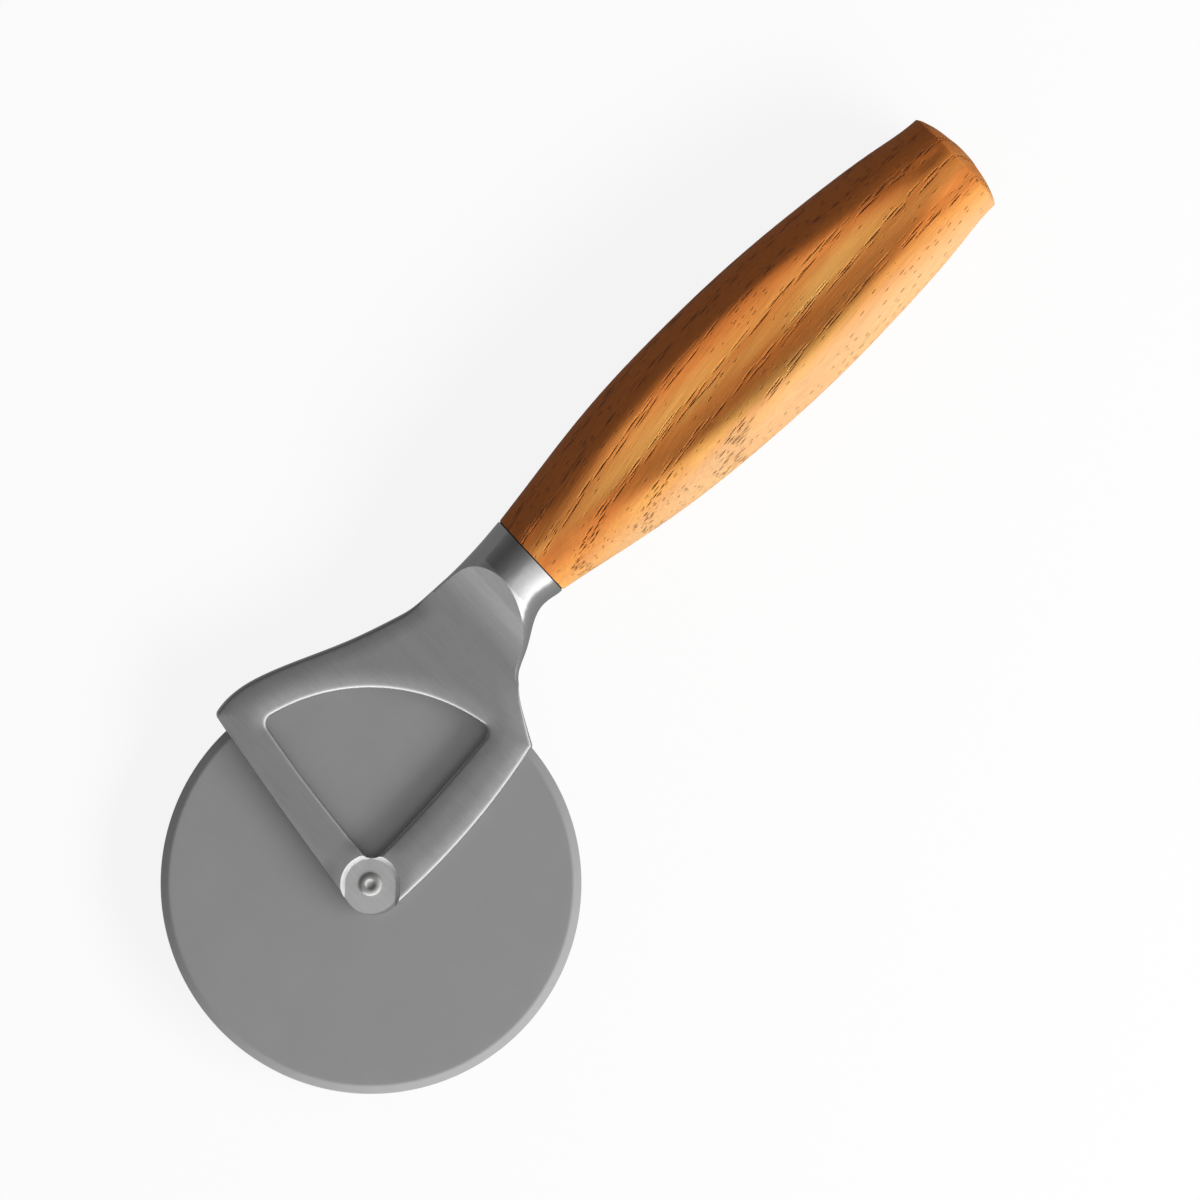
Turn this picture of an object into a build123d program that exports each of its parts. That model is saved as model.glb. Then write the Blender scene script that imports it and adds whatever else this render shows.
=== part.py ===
"""A hand-held pizza cutter: a free-turning wheel on the side of an open steel frame, with a wooden handle.

The tool lies on its back. X runs from the wheel to the butt of the handle, Y runs towards the finger guard,
and Z is the wheel's axle, up and away from the table. Everything is drawn about the axle, in the middle plane
of the handle, and is moved at the end so that the origin is on the table, below the middle of the tool's box.
All sizes are in millimetres.
"""
import os
from math import cos, exp, log, pi, radians, sin, sqrt, tan

from build123d import *

# Cutting wheel
wheel_radius = 45.0
wheel_thickness = 1.5
bevel_width = 1.8
edge_thickness = 0.15

# Frame: the plate with the window, seen along the axle, reaching past the wheel's rim
joint_past_rim = 27.6
guard_past_rim = 4.8
heel_past_rim = 0.4
handle_rise = 28.2
plate_thickness = 3.5
pivot_end_radius = 6.5
pivot_end_forward = 0.4
pivot_end_drop = 0.5
guard_crest_forward = 5.1
guard_corner_forward = 0.3
guard_corner_drop = 0.7
guard_corner_radius = 1.5
guard_brow_share = 0.25
guard_arm_bow = 0.35
heel_drop = 1.9
heel_arm_bow = 1.65
heel_corner_radius = 0.8
edge_rounding = 0.9

# Top edge from the guard's crest to the neck: share of the run, share of the fall
guard_slope_shares = ((0.165, 0.1), (0.38, 0.39), (0.6, 0.7), (0.815, 0.932))
# Hollow between the heel and the neck: share of the run, share of the rise
heel_hollow_shares = (0.47, 0.55)
# Ways in which the throat leaves the heel and reaches the neck: shares along X and Y
heel_way_shares = (0.42, 0.9)
neck_way_shares = (0.72, 0.7)

# Window
rim_cover = 3.3
window_corner_forward = 3.3
window_corner_rise = 3.2
window_left_lean = 3.6
window_left_bow = 0.6
window_low_rise = 3.5
window_low_bow = 0.5
window_corner_radius = 1.9

# Bolster: the neck that swells from the plate to the wooden handle
bolster_length = 20.4
joint_half_width = 9.95
joint_half_depth = 9.95
ramp_run = 14.0
ramp_angle = 52.0
ramp_blend_radius = 12.5
# Sections: share of the length, shares of the half width above and below, and of the half depth
bolster_section_shares = (
    (0.0, 0.878, 1.85, 0.5),
    (0.2, 0.874, 1.53, 0.66),
    (0.38, 0.882, 1.33, 0.87),
    (0.52, 0.898, 1.14, 0.96),
    (0.66, 0.92, 0.995, 0.99),
    (0.8, 0.95, 0.955, 1.0),
    (1.0, 1.0, 1.0, 1.0),
)

# Axle rivet, and what turns on it
spotface_depth = 1.0
spotface_radius = 5.4
spotface_wall_angle = 45.0
rivet_neck_radius = 2.0
rivet_tail_radius = 2.55
rivet_tail_height = 0.75
rivet_tail_edge = 0.3
rivet_dimple_radius = 1.1
rivet_dimple_depth = 0.45
# Middle points of the tail's two rounded forms: share of the radius, share of the height
rivet_dimple_shares = (0.6, 0.7)
rivet_dome_shares = (0.53, 0.35)
rivet_shoulder_radius = 3.0
rivet_head_radius = 5.6
rivet_head_thickness = 0.5
rivet_head_crown = 0.7
bush_wall = 1.5
bush_stand_out = 0.1
washer_thickness = 0.5
front_washer_radius = 5.8
rear_washer_radius = 7.2
running_gap = 0.1
shaft_clearance = 0.05

# Tang and seal
tang_radius = 3.0
tang_in_bolster = 8.0
tang_in_handle = 68.0
tang_groove_depth = 0.4
tang_groove_width = 1.6
tang_groove_pitch = 9.0
tang_clearance = 0.1
seal_thickness = 0.3
seal_set_in = 0.25

# Handle
handle_length = 126.3
handle_half_width = 16.8
handle_half_depth = 13.1
butt_half_width = 12.35
butt_half_depth = 9.65
butt_dome_height = 2.8
butt_dome_steps = 6
butt_dome_power = 1.54
butt_tip_share = 0.5
belly_share = 0.53
# From the joint to the belly, and from the belly to the butt: share of the run, share of the change in size
belly_growth_shares = ((0.0, 0.0), (0.14, 0.23), (0.29, 0.485), (0.44, 0.7), (0.6, 0.855), (0.8, 0.96))
belly_decline_shares = ((0.0, 0.0), (0.24, 0.07), (0.43, 0.22), (0.61, 0.41), (0.79, 0.68), (1.0, 1.0))
# Hollow on each face of the handle
hollow_floor = 9.55
hollow_radius = 23.0
hollow_bed_radius = 950.0
hollow_middle_share = 0.55
hollow_ridge_softness = 0.3
section_points = 48

cut_overrun = 1.0

# Places along the axle, from the plate's middle plane
plate_front_z = plate_thickness / 2
plate_back_z = -plate_thickness / 2
spotface_z = plate_front_z - spotface_depth
front_washer_back_z = plate_back_z - washer_thickness
bush_front_z = front_washer_back_z - running_gap
wheel_front_z = bush_front_z - bush_stand_out
wheel_back_z = wheel_front_z - wheel_thickness
bush_back_z = wheel_back_z - bush_stand_out
rear_washer_front_z = bush_back_z - running_gap
rear_washer_back_z = rear_washer_front_z - washer_thickness
bush_bore_radius = rivet_shoulder_radius + shaft_clearance
bush_outer_radius = bush_bore_radius + bush_wall
washer_bore_radius = rivet_shoulder_radius + shaft_clearance

# Places along the frame and the handle
guard_height = wheel_radius + guard_past_rim
heel_forward = wheel_radius + heel_past_rim
joint_x = wheel_radius + joint_past_rim
neck_x = joint_x - bolster_length
handle_front_x = joint_x + seal_thickness
handle_end_x = joint_x + handle_length
butt_rim_x = handle_end_x - butt_dome_height
belly_x = handle_front_x + belly_share * (handle_end_x - handle_front_x)
hollow_middle_x = handle_front_x + hollow_middle_share * (handle_end_x - handle_front_x)
neck_above = bolster_section_shares[0][1] * joint_half_width
neck_below = bolster_section_shares[0][2] * joint_half_width


def bowed(start, end, bow):
    """An arc from start to end that bulges by bow, to the left of its way where bow is positive."""
    a, b = Vector(*start), Vector(*end)
    way = (b - a).normalized()
    middle = (a + b) * 0.5 + Vector(-way.Y, way.X) * bow
    return ThreePointArc(a, middle, b)


def along_handle(x):
    """A work plane square to the handle's axis, with its own x across the tool and its own y up the axle."""
    return Plane(origin=(x, handle_rise, 0), x_dir=(0, 1, 0), z_dir=(1, 0, 0))


def ring(outer, inner, low, high):
    """A flat ring about the axle."""
    return Pos(0, 0, low) * extrude(Circle(outer) - Circle(inner), high - low)


def make_cutting_wheel():
    """A steel disc, ground from both faces to a thin cutting edge, with a bore for its bush."""
    half, land = wheel_thickness / 2, edge_thickness / 2
    inner, outer = bush_outer_radius, wheel_radius
    profile = Polyline(
        (inner, -half), (outer - bevel_width, -half), (outer, -land),
        (outer, land), (outer - bevel_width, half), (inner, half), close=True,
    )
    disc = revolve(Plane.XZ * make_face(profile), Axis.Z)
    return Pos(0, 0, wheel_back_z + half) * disc


def plate_outline():
    """The plate's outline, from the neck round the guard and the pivot to the heel, as one face."""
    neck_top = (neck_x, handle_rise + neck_above)
    neck_low = (neck_x, handle_rise - neck_below)
    crest = (guard_crest_forward, guard_height)
    corner = (guard_corner_forward, guard_height - guard_corner_drop)
    heel = (heel_forward, -heel_drop)
    run, fall = neck_top[0] - crest[0], crest[1] - neck_top[1]
    slope = [(crest[0] + a * run, crest[1] - b * fall) for a, b in guard_slope_shares]
    top = Spline(crest, *slope, neck_top, tangents=[(1, 0), (1, 0)])
    brow = bowed(corner, crest, guard_brow_share * (crest[1] - corner[1]))

    end_centre = Vector(pivot_end_forward, -pivot_end_drop)
    lean = (corner[0] + pivot_end_radius - pivot_end_forward) / corner[1]
    end_left = end_centre + Vector(-pivot_end_radius, pivot_end_radius * lean)
    end_low = end_centre + Vector(0, -pivot_end_radius)
    end_middle = end_centre - Vector(cos(pi / 4), sin(pi / 4)) * pivot_end_radius
    guard_arm = bowed(end_left, corner, guard_arm_bow)
    pivot_end = ThreePointArc(end_left, end_middle, end_low)
    heel_arm = bowed(heel, end_low, heel_arm_bow)

    rise = (neck_low[0] - heel[0], neck_low[1] - heel[1])
    along, up = heel_hollow_shares
    hollow = (heel[0] + along * rise[0], heel[1] + up * rise[1])
    throat = Spline(heel, hollow, neck_low, tangents=[heel_way_shares, neck_way_shares])
    back = Line(neck_low, neck_top)
    outline = make_face([top, brow, guard_arm, pivot_end, heel_arm, throat, back])
    outline = rounded_corner(outline, corner, guard_corner_radius)
    return rounded_corner(outline, heel, heel_corner_radius)


def rounded_corner(face, point, radius):
    """The face with its corner at the point rounded."""
    corner = face.vertices().sort_by_distance(Vector(*point))[0]
    return fillet(corner, radius)


def window_outline():
    """The window between the arms: two slightly bowed sides, and an arc that covers the wheel's rim."""
    reach = wheel_radius - rim_cover
    inner = (window_corner_forward, window_corner_rise)
    left_x = inner[0] + window_left_lean
    low_y = inner[1] + window_low_rise
    left = (left_x, sqrt(reach**2 - left_x**2))
    low = (sqrt(reach**2 - low_y**2), low_y)
    middle = (reach * cos(pi / 4), reach * sin(pi / 4))
    sides = [
        bowed(inner, left, window_left_bow),
        ThreePointArc(left, middle, low),
        bowed(low, inner, window_low_bow),
    ]
    window = make_face(sides)
    return fillet(window.vertices(), window_corner_radius)


def bolster_section(share, above, below, depth):
    """A face across the bolster: an oval whose halves above and below the handle's axis are unequal."""
    above, below, depth = above * joint_half_width, below * joint_half_width, depth * joint_half_depth
    edges = [
        EllipticalCenterArc((0, 0), above, depth, -90, arc_size=180),
        EllipticalCenterArc((0, 0), below, depth, 90, arc_size=180),
    ]
    return along_handle(neck_x + share * bolster_length) * make_face(edges)


def ramp_cutter():
    """What is cut away in front of the plate and its ramp, up to the bolster's crest."""
    angle = radians(ramp_angle)
    foot = joint_x - ramp_run
    blend = ramp_blend_radius * tan(angle / 2)
    top = joint_half_depth + cut_overrun
    start = (neck_x - cut_overrun, plate_front_z)
    blend_start = (foot - blend, plate_front_z)
    blend_end = (foot + blend * cos(angle), plate_front_z + blend * sin(angle))
    head = (foot + (top - plate_front_z) / tan(angle), top)
    edges = [
        Line(start, blend_start),
        TangentArc(blend_start, blend_end, tangent=(1, 0)),
        Line(blend_end, head),
        Line(head, (start[0], top)),
        Line((start[0], top), start),
    ]
    side = Plane(origin=(0, handle_rise, 0), x_dir=(1, 0, 0), z_dir=(0, -1, 0)) * make_face(edges)
    width = 2 * max(neck_above, neck_below) + 2 * cut_overrun
    return extrude(side, width / 2, both=True)


def spotface_cutter():
    """A flat seat with a sloped wall round the rivet's tail, run out over the end of the plate."""
    slope = spotface_depth * tan(radians(spotface_wall_angle))
    top = plate_front_z + cut_overrun
    flare = slope * (1 + cut_overrun / spotface_depth)
    radius = spotface_radius
    half = Polyline((0, spotface_z), (radius, spotface_z), (radius + flare, top), (0, top), close=True)
    seat = revolve(Plane.XZ * make_face(half), Axis.Z)
    whole = Polyline(
        (-radius, spotface_z), (radius, spotface_z),
        (radius + flare, top), (-radius - flare, top), close=True,
    )
    across = Plane(origin=(0, 0, 0), x_dir=(1, -1, 0), z_dir=(-1, -1, 0))
    run = extrude(across * make_face(whole), 2 * pivot_end_radius)
    return seat + run


def make_plate():
    """The flat of the frame, pierced by the window, with softly rounded edges all round."""
    plate = Pos(0, 0, plate_back_z) * extrude(plate_outline(), plate_thickness)
    through = plate_thickness + 2 * cut_overrun
    plate -= Pos(0, 0, plate_back_z - cut_overrun) * extrude(window_outline(), through)
    by_height = plate.edges().group_by(Axis.Z)
    face_edges = by_height[0] + by_height[-1]
    return fillet(face_edges.filter_by(lambda edge: edge.center().X < neck_x - edge_rounding), edge_rounding)


def make_bolster():
    """The neck: oval sections, cut back on both faces by a ramp that runs down to the plate."""
    bolster = loft([bolster_section(*shares) for shares in bolster_section_shares])
    cutter = ramp_cutter()
    return bolster - cutter - mirror(cutter, Plane.XY)


def make_frame():
    """The forged frame: window, arms, guard, heel, ramp and bolster in one piece of steel."""
    frame = make_plate() + make_bolster() - spotface_cutter()
    frame -= Pos(0, 0, plate_back_z - cut_overrun) * Cylinder(
        rivet_neck_radius, plate_thickness + 2 * cut_overrun, align=(Align.CENTER, Align.CENTER, Align.MIN)
    )
    bore = extrude(Circle(tang_radius), tang_in_bolster + cut_overrun)
    return frame - along_handle(joint_x - tang_in_bolster) * bore


def make_axle_rivet():
    """The axle: a domed head behind, a shoulder that the bush turns on, and a tail formed in the spotface."""
    tail_z = spotface_z + rivet_tail_height
    head_z = rear_washer_back_z
    rim_z = head_z - rivet_head_thickness
    tip_z = rim_z - rivet_head_crown
    across, down = rivet_dimple_shares
    dimple_middle = (rivet_dimple_radius * across, tail_z - rivet_dimple_depth * down)
    across, down = rivet_dome_shares
    dome_middle = ((rivet_tail_radius + rivet_dimple_radius) * across, tail_z - rivet_tail_edge * down)
    tail_edge = (rivet_tail_radius, spotface_z + rivet_tail_edge)
    head_edge = (rivet_head_radius, rim_z)
    tip, dimple, dimple_rim = (0, tip_z), (0, tail_z - rivet_dimple_depth), (rivet_dimple_radius, tail_z)
    side = Polyline(
        tail_edge, (rivet_tail_radius, spotface_z), (rivet_neck_radius, spotface_z),
        (rivet_neck_radius, plate_back_z), (rivet_shoulder_radius, plate_back_z),
        (rivet_shoulder_radius, head_z), (rivet_head_radius, head_z), head_edge,
    )
    profile = [
        Line(tip, dimple),
        ThreePointArc(dimple, dimple_middle, dimple_rim),
        ThreePointArc(dimple_rim, dome_middle, tail_edge),
        side,
        RadiusArc(head_edge, tip, crown_radius(rivet_head_radius, rivet_head_crown)),
    ]
    return revolve(Plane.XZ * make_face(profile), Axis.Z)


def crown_radius(half_chord, height):
    """The radius of the arc that rises by height over half_chord."""
    return (half_chord**2 + height**2) / (2 * height)


def make_tang():
    """The rod that joins bolster and handle, with grooves that key the glue."""
    length = tang_in_bolster + tang_in_handle
    rod = along_handle(joint_x - tang_in_bolster) * extrude(Circle(tang_radius), length)
    ring_face = Circle(tang_radius + cut_overrun) - Circle(tang_radius - tang_groove_depth)
    count = int((tang_in_handle - tang_groove_pitch) / tang_groove_pitch)
    for index in range(count):
        place = joint_x + (index + 1) * tang_groove_pitch
        rod -= along_handle(place) * extrude(ring_face, tang_groove_width)
    return rod


def make_joint_seal():
    """The thin film between steel and wood, set in a little from both."""
    section = Ellipse(joint_half_width - seal_set_in, joint_half_depth - seal_set_in)
    hole = Circle(tang_radius + tang_clearance)
    return along_handle(joint_x) * extrude(section - hole, seal_thickness)


def handle_section(x, half_width, half_depth):
    """A closed face across the handle: an oval with a shallow hollow on each face, blended at the ridges."""
    floor = hollow_floor + (x - hollow_middle_x) ** 2 / (2 * hollow_bed_radius)
    soft = hollow_ridge_softness
    points = []
    for index in range(section_points):
        angle = pi * (2 * index + 1) / section_points
        across = half_width * cos(angle)
        oval = half_depth * abs(sin(angle))
        hollow = floor + across**2 / (2 * hollow_radius)
        depth = -soft * log(exp(-oval / soft) + exp(-hollow / soft))
        points.append((across, depth if angle < pi else -depth))
    return along_handle(x) * make_face(Spline(*points, periodic=True))


def make_handle():
    """The wooden handle: a swelling oval, hollowed on both faces, with a domed butt and a bore for the tang."""
    sections = []
    for run, growth in belly_growth_shares:
        x = handle_front_x + run * (belly_x - handle_front_x)
        width = joint_half_width + growth * (handle_half_width - joint_half_width)
        depth = joint_half_depth + growth * (handle_half_depth - joint_half_depth)
        sections.append(handle_section(x, width, depth))
    for run, decline in belly_decline_shares:
        x = belly_x + run * (butt_rim_x - belly_x)
        width = handle_half_width - decline * (handle_half_width - butt_half_width)
        depth = handle_half_depth - decline * (handle_half_depth - butt_half_depth)
        sections.append(handle_section(x, width, depth))
    body = loft(sections) + butt_dome()
    bore = along_handle(handle_front_x - cut_overrun) * extrude(
        Circle(tang_radius + tang_clearance), tang_in_handle - seal_thickness + tang_clearance + cut_overrun
    )
    return body - bore


def butt_dome():
    """The domed end of the handle, rounded at its rim and nearly flat in the middle."""
    sections = []
    for step in range(butt_dome_steps + 1):
        angle = pi / 2 * step / (butt_dome_steps + butt_tip_share)
        x = butt_rim_x + butt_dome_height * sin(angle) ** butt_dome_power
        sections.append(handle_section(x, butt_half_width * cos(angle), butt_half_depth * cos(angle)))
    return loft(sections)


def make_parts():
    """Every piece by its name, in place."""
    bush = ring(bush_outer_radius, bush_bore_radius, bush_back_z, bush_front_z)
    return {
        "frame": make_frame(),
        "cutting_wheel": make_cutting_wheel(),
        "wheel_bush": bush,
        "axle_rivet": make_axle_rivet(),
        "front_washer": ring(front_washer_radius, washer_bore_radius, front_washer_back_z, plate_back_z),
        "rear_washer": ring(rear_washer_radius, washer_bore_radius, rear_washer_back_z, rear_washer_front_z),
        "tang": make_tang(),
        "joint_seal": make_joint_seal(),
        "handle": make_handle(),
    }


parts = make_parts()
boxes = [part.bounding_box() for part in parts.values()]
low = [min(getattr(box.min, axis) for box in boxes) for axis in "XYZ"]
high = [max(getattr(box.max, axis) for box in boxes) for axis in "XYZ"]
to_table = Pos(-(low[0] + high[0]) / 2, -(low[1] + high[1]) / 2, -low[2])
print("box", [round(b - a, 2) for a, b in zip(low, high)], "axle at", to_table.position)

os.makedirs("parts", exist_ok=True)
for name, part in parts.items():
    export_step(to_table * part, f"parts/{name}.step")
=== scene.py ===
# %% [markdown]
# A pizza cutter, dressed for its picture.
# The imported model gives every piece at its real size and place. This lesson adds what a construction model
# leaves out: turned pieces with softly broken edges, brushed and satin steel, open-pored wood, and a studio.
# All lengths are in metres, in the model's own frame: X runs from the wheel to the butt of the handle, Y
# towards the finger guard, and Z up along the wheel's axle.

# %% Load the fixed frame
from math import asin, cos, pi, radians, sin

import bmesh
import bpy
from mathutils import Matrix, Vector
from mathutils.bvhtree import BVHTree


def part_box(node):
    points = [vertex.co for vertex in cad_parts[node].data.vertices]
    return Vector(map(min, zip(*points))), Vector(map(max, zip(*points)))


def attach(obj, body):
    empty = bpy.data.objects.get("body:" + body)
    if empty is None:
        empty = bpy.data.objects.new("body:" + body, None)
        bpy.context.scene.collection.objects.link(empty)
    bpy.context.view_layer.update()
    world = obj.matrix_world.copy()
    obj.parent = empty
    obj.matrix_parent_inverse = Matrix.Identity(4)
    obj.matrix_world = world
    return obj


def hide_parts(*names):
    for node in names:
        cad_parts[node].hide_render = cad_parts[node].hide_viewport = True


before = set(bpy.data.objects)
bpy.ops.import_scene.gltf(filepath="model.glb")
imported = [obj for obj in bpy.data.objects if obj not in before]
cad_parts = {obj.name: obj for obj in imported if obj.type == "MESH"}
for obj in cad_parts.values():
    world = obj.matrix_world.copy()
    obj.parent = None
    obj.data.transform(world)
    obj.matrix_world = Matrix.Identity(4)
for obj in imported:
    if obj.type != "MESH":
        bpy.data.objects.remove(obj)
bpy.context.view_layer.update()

# %% [markdown]
# Places come from the frame's own boxes, so that a piece made here lands where the model says. The wheel's
# box gives the axle, and the joint seal's box gives the handle's axis.

# %% Landmarks of the tool
mm = 0.001
wheel_low, wheel_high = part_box("cutting_wheel")
seal_low, seal_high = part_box("joint_seal")
handle_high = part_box("handle")[1]
axle = Vector(((wheel_low.x + wheel_high.x) / 2, (wheel_low.y + wheel_high.y) / 2, 0))
wheel_radius = (wheel_high.x - wheel_low.x) / 2
grip_axis = Vector((0, (seal_low.y + seal_high.y) / 2, (seal_low.z + seal_high.z) / 2))
joint_x = seal_low.x
print("axle", axle, "wheel radius", wheel_radius, "handle axis", grip_axis)

# %% [markdown]
# The camera looks straight down on the tool, which lies turned by 42.8 degrees in the picture. A long lens
# keeps the wheel round and the handle free of perspective, as a product picture does. Its distance follows
# from the width of the view: distance = width x lens / sensor.

# %% Camera
view_turn = radians(-42.8)
view_centre = Vector((0.13, 8.8, 10.96)) * mm
view_width = 256 * mm


def make_camera():
    lens = bpy.data.cameras.new("camera")
    lens.lens = 200
    lens.clip_end = 20
    camera = bpy.data.objects.new("camera", lens)
    distance = view_width * lens.lens / lens.sensor_width
    camera.location = view_centre + Vector((0, 0, distance))
    camera.rotation_euler = (0, 0, view_turn)
    bpy.context.scene.collection.objects.link(camera)
    bpy.context.scene.camera = camera
    print("camera", round(distance, 3), "m above the tool")


make_camera()

# %% [markdown]
# Shader trees are easier to read when a node is one line. These helpers add a node with its settings, and
# build a node group whose sockets have names, so that a finish such as brushing is made once and used in many
# materials.


# %% Node helpers
def node(tree, kind, inputs=None, **settings):
    """A new node with its settings and inputs, where an input is a value or another node's output."""
    made = tree.nodes.new(kind)
    for name, value in settings.items():
        setattr(made, name, value)
    for name, value in (inputs or {}).items():
        if isinstance(value, bpy.types.NodeSocket):
            tree.links.new(value, made.inputs[name])
        else:
            made.inputs[name].default_value = value
    return made


def maths(tree, operation, first, second=0.0):
    """The output of a Math node."""
    made = node(tree, "ShaderNodeMath", {0: first, 1: second}, operation=operation)
    return made.outputs[0]


def plus(tree, first, second):
    """The sum of two values."""
    return maths(tree, "ADD", first, second)


def minus(tree, first, second):
    """The first value less the second."""
    return maths(tree, "SUBTRACT", first, second)


def times(tree, first, second):
    """The product of two values."""
    return maths(tree, "MULTIPLY", first, second)


def stretched(tree, vector, scale):
    """A vector with each of its parts scaled."""
    return node(tree, "ShaderNodeVectorMath", {0: vector, 1: scale}, operation="MULTIPLY").outputs[0]


def split(tree, vector):
    """The X, Y and Z of a vector."""
    return node(tree, "ShaderNodeSeparateXYZ", {0: vector}).outputs


def ramped(tree, value, low, high, bottom=0.0, top=1.0):
    """The value run from low to high as a soft step from bottom to top."""
    inputs = {"Value": value, "From Min": low, "From Max": high, "To Min": bottom, "To Max": top}
    return node(tree, "ShaderNodeMapRange", inputs, interpolation_type="SMOOTHSTEP").outputs["Result"]


def noise(tree, vector, scale, detail=2.0, roughness=0.5):
    """The value of a noise texture."""
    inputs = {"Vector": vector, "Scale": scale, "Detail": detail, "Roughness": roughness}
    return node(tree, "ShaderNodeTexNoise", inputs).outputs["Fac"]


def mixed(tree, share, first, second):
    """A mix of two colours."""
    made = node(tree, "ShaderNodeMix", data_type="RGBA")
    for socket, value in zip((made.inputs[0], made.inputs[6], made.inputs[7]), (share, first, second)):
        if isinstance(value, bpy.types.NodeSocket):
            tree.links.new(value, socket)
        else:
            socket.default_value = value
    return made.outputs[2]


def new_group(name, inputs, outputs):
    """A node group with its sockets, and its inner input and output nodes."""
    group = bpy.data.node_groups.new(name, "ShaderNodeTree")
    for label, kind, value in inputs:
        socket = group.interface.new_socket(label, in_out="INPUT", socket_type=kind)
        if value is not None:
            socket.default_value = value
    for label, kind in outputs:
        group.interface.new_socket(label, in_out="OUTPUT", socket_type=kind)
    return group, group.nodes.new("NodeGroupInput").outputs, group.nodes.new("NodeGroupOutput").inputs


def use_group(tree, group, inputs):
    """The outputs of a group placed in a tree with its own values."""
    placed = tree.nodes.new("ShaderNodeGroup")
    placed.node_tree = group
    for name, value in inputs.items():
        if isinstance(value, bpy.types.NodeSocket):
            tree.links.new(value, placed.inputs[name])
        else:
            placed.inputs[name].default_value = value
    return placed.outputs


def new_material(name, **shader_values):
    """A material with a Principled shader, its tree, that shader, and the object coordinates."""
    material = bpy.data.materials.new(name)
    material.use_nodes = True
    tree = material.node_tree
    shader = tree.nodes["Principled BSDF"]
    for label, value in shader_values.items():
        shader.inputs[label.replace("_", " ")].default_value = value
    place = tree.nodes.new("ShaderNodeTexCoord").outputs["Object"]
    return material, tree, shader, place


# %% [markdown]
# The studio. The floor is a plain pale table that keeps the tool's shadow. To the camera it is mostly white,
# by its own glow, so that no extra light has to fall on the tool to make the background white.

# %% Floor
floor_radius = 2.4
floor_glow_share = 0.88


def rays_that_see(tree):
    """1 for rays that show the background: from the camera, off metal, or through glass."""
    path = tree.nodes.new("ShaderNodeLightPath").outputs
    bent = maths(tree, "MAXIMUM", path["Is Glossy Ray"], path["Is Transmission Ray"])
    return maths(tree, "MAXIMUM", path["Is Camera Ray"], bent)


def everything(shape):
    """All points, edges and faces of a shape."""
    return shape.verts[:] + shape.edges[:] + shape.faces[:]


def stage_object(name, shape, material):
    """An object of the studio, which isn't part of the tool."""
    mesh = bpy.data.meshes.new(name)
    shape.to_mesh(mesh)
    shape.free()
    mesh.materials.append(material)
    made = bpy.data.objects.new(name, mesh)
    bpy.context.scene.collection.objects.link(made)
    print(name, len(mesh.polygons), "faces")
    return made


def make_floor():
    material, tree, shader, place = new_material("pale_table", Roughness=0.9, Specular_IOR_Level=0.1)
    grain = noise(tree, place, 900.0)
    bounce = node(tree, "ShaderNodeLightPath").outputs["Is Diffuse Ray"]
    pale = mixed(tree, grain, (0.9, 0.9, 0.9, 1), (0.94, 0.94, 0.94, 1))
    colour = mixed(tree, bounce, pale, (0.3, 0.3, 0.3, 1))
    tree.links.new(colour, shader.inputs["Base Color"])
    white = node(tree, "ShaderNodeEmission", {"Color": (1, 1, 1, 1), "Strength": 1.0})
    share = times(tree, rays_that_see(tree), floor_glow_share)
    lifted = node(tree, "ShaderNodeMixShader", {0: share, 1: shader.outputs[0], 2: white.outputs[0]})
    behind = tree.nodes.new("ShaderNodeNewGeometry").outputs["Backfacing"]
    clear = tree.nodes.new("ShaderNodeBsdfTransparent").outputs[0]
    one_sided = node(tree, "ShaderNodeMixShader", {0: behind, 1: lifted.outputs[0], 2: clear})
    tree.links.new(one_sided.outputs[0], tree.nodes["Material Output"].inputs["Surface"])
    shape = bmesh.new()
    bmesh.ops.create_circle(shape, cap_ends=True, radius=floor_radius, segments=96)
    stage_object("floor", shape, material)


make_floor()

# %% [markdown]
# Steel has no colour of its own to speak of: it shows what stands around it. So the tool lies in a light
# tent, a wide dome that is dim overhead, bright low down before the tool's lower side, and darker on the
# other side. Only reflections see it. A grey mat under the tool does the same for what the steel shows of
# the table: it is darker beside the tool's upper side and lighter beyond the wheel.

# %% Light tent and mat
tent_radius = 2.8
mat_radius = 2.3
mat_height = 0.3 * mm
# The mat's grey on the tool's lower and upper side, and how much lighter it is beyond the wheel
mat_side_fade = (-20 * mm, 35 * mm)
mat_side_greys = (0.42, 0.23)
mat_end_fade = (-60 * mm, -140 * mm)
mat_end_lift = 0.2
# Light of the tent from the dark side over the top to the bright side: angle from straight up, strength
tent_steps = (
    (-100, 0.3), (-84, 0.13), (-50, 0.08), (-27, 0.13), (-10, 0.21), (4, 0.3),
    (18, 0.66), (30, 0.88), (50, 1.16), (68, 1.7), (90, 2.2),
)
tent_end_lift = 0.45
tent_foot = -0.02


def share_between(tree, value, low, high, bottom=0.0, top=1.0):
    """The value run evenly from low to high as a share from bottom to top."""
    inputs = {"Value": value, "From Min": low, "From Max": high, "To Min": bottom, "To Max": top}
    return node(tree, "ShaderNodeMapRange", inputs).outputs["Result"]


def only_glows(tree, colour, strength):
    """Makes a glow the only shader of a material."""
    tree.nodes.remove(tree.nodes["Principled BSDF"])
    glow = node(tree, "ShaderNodeEmission", {"Color": colour, "Strength": strength})
    tree.links.new(glow.outputs[0], tree.nodes["Material Output"].inputs["Surface"])


def only_reflections_see(made):
    """Hides an object from everything but reflections."""
    made.visible_camera = made.visible_diffuse = made.visible_shadow = made.visible_transmission = False


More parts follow.
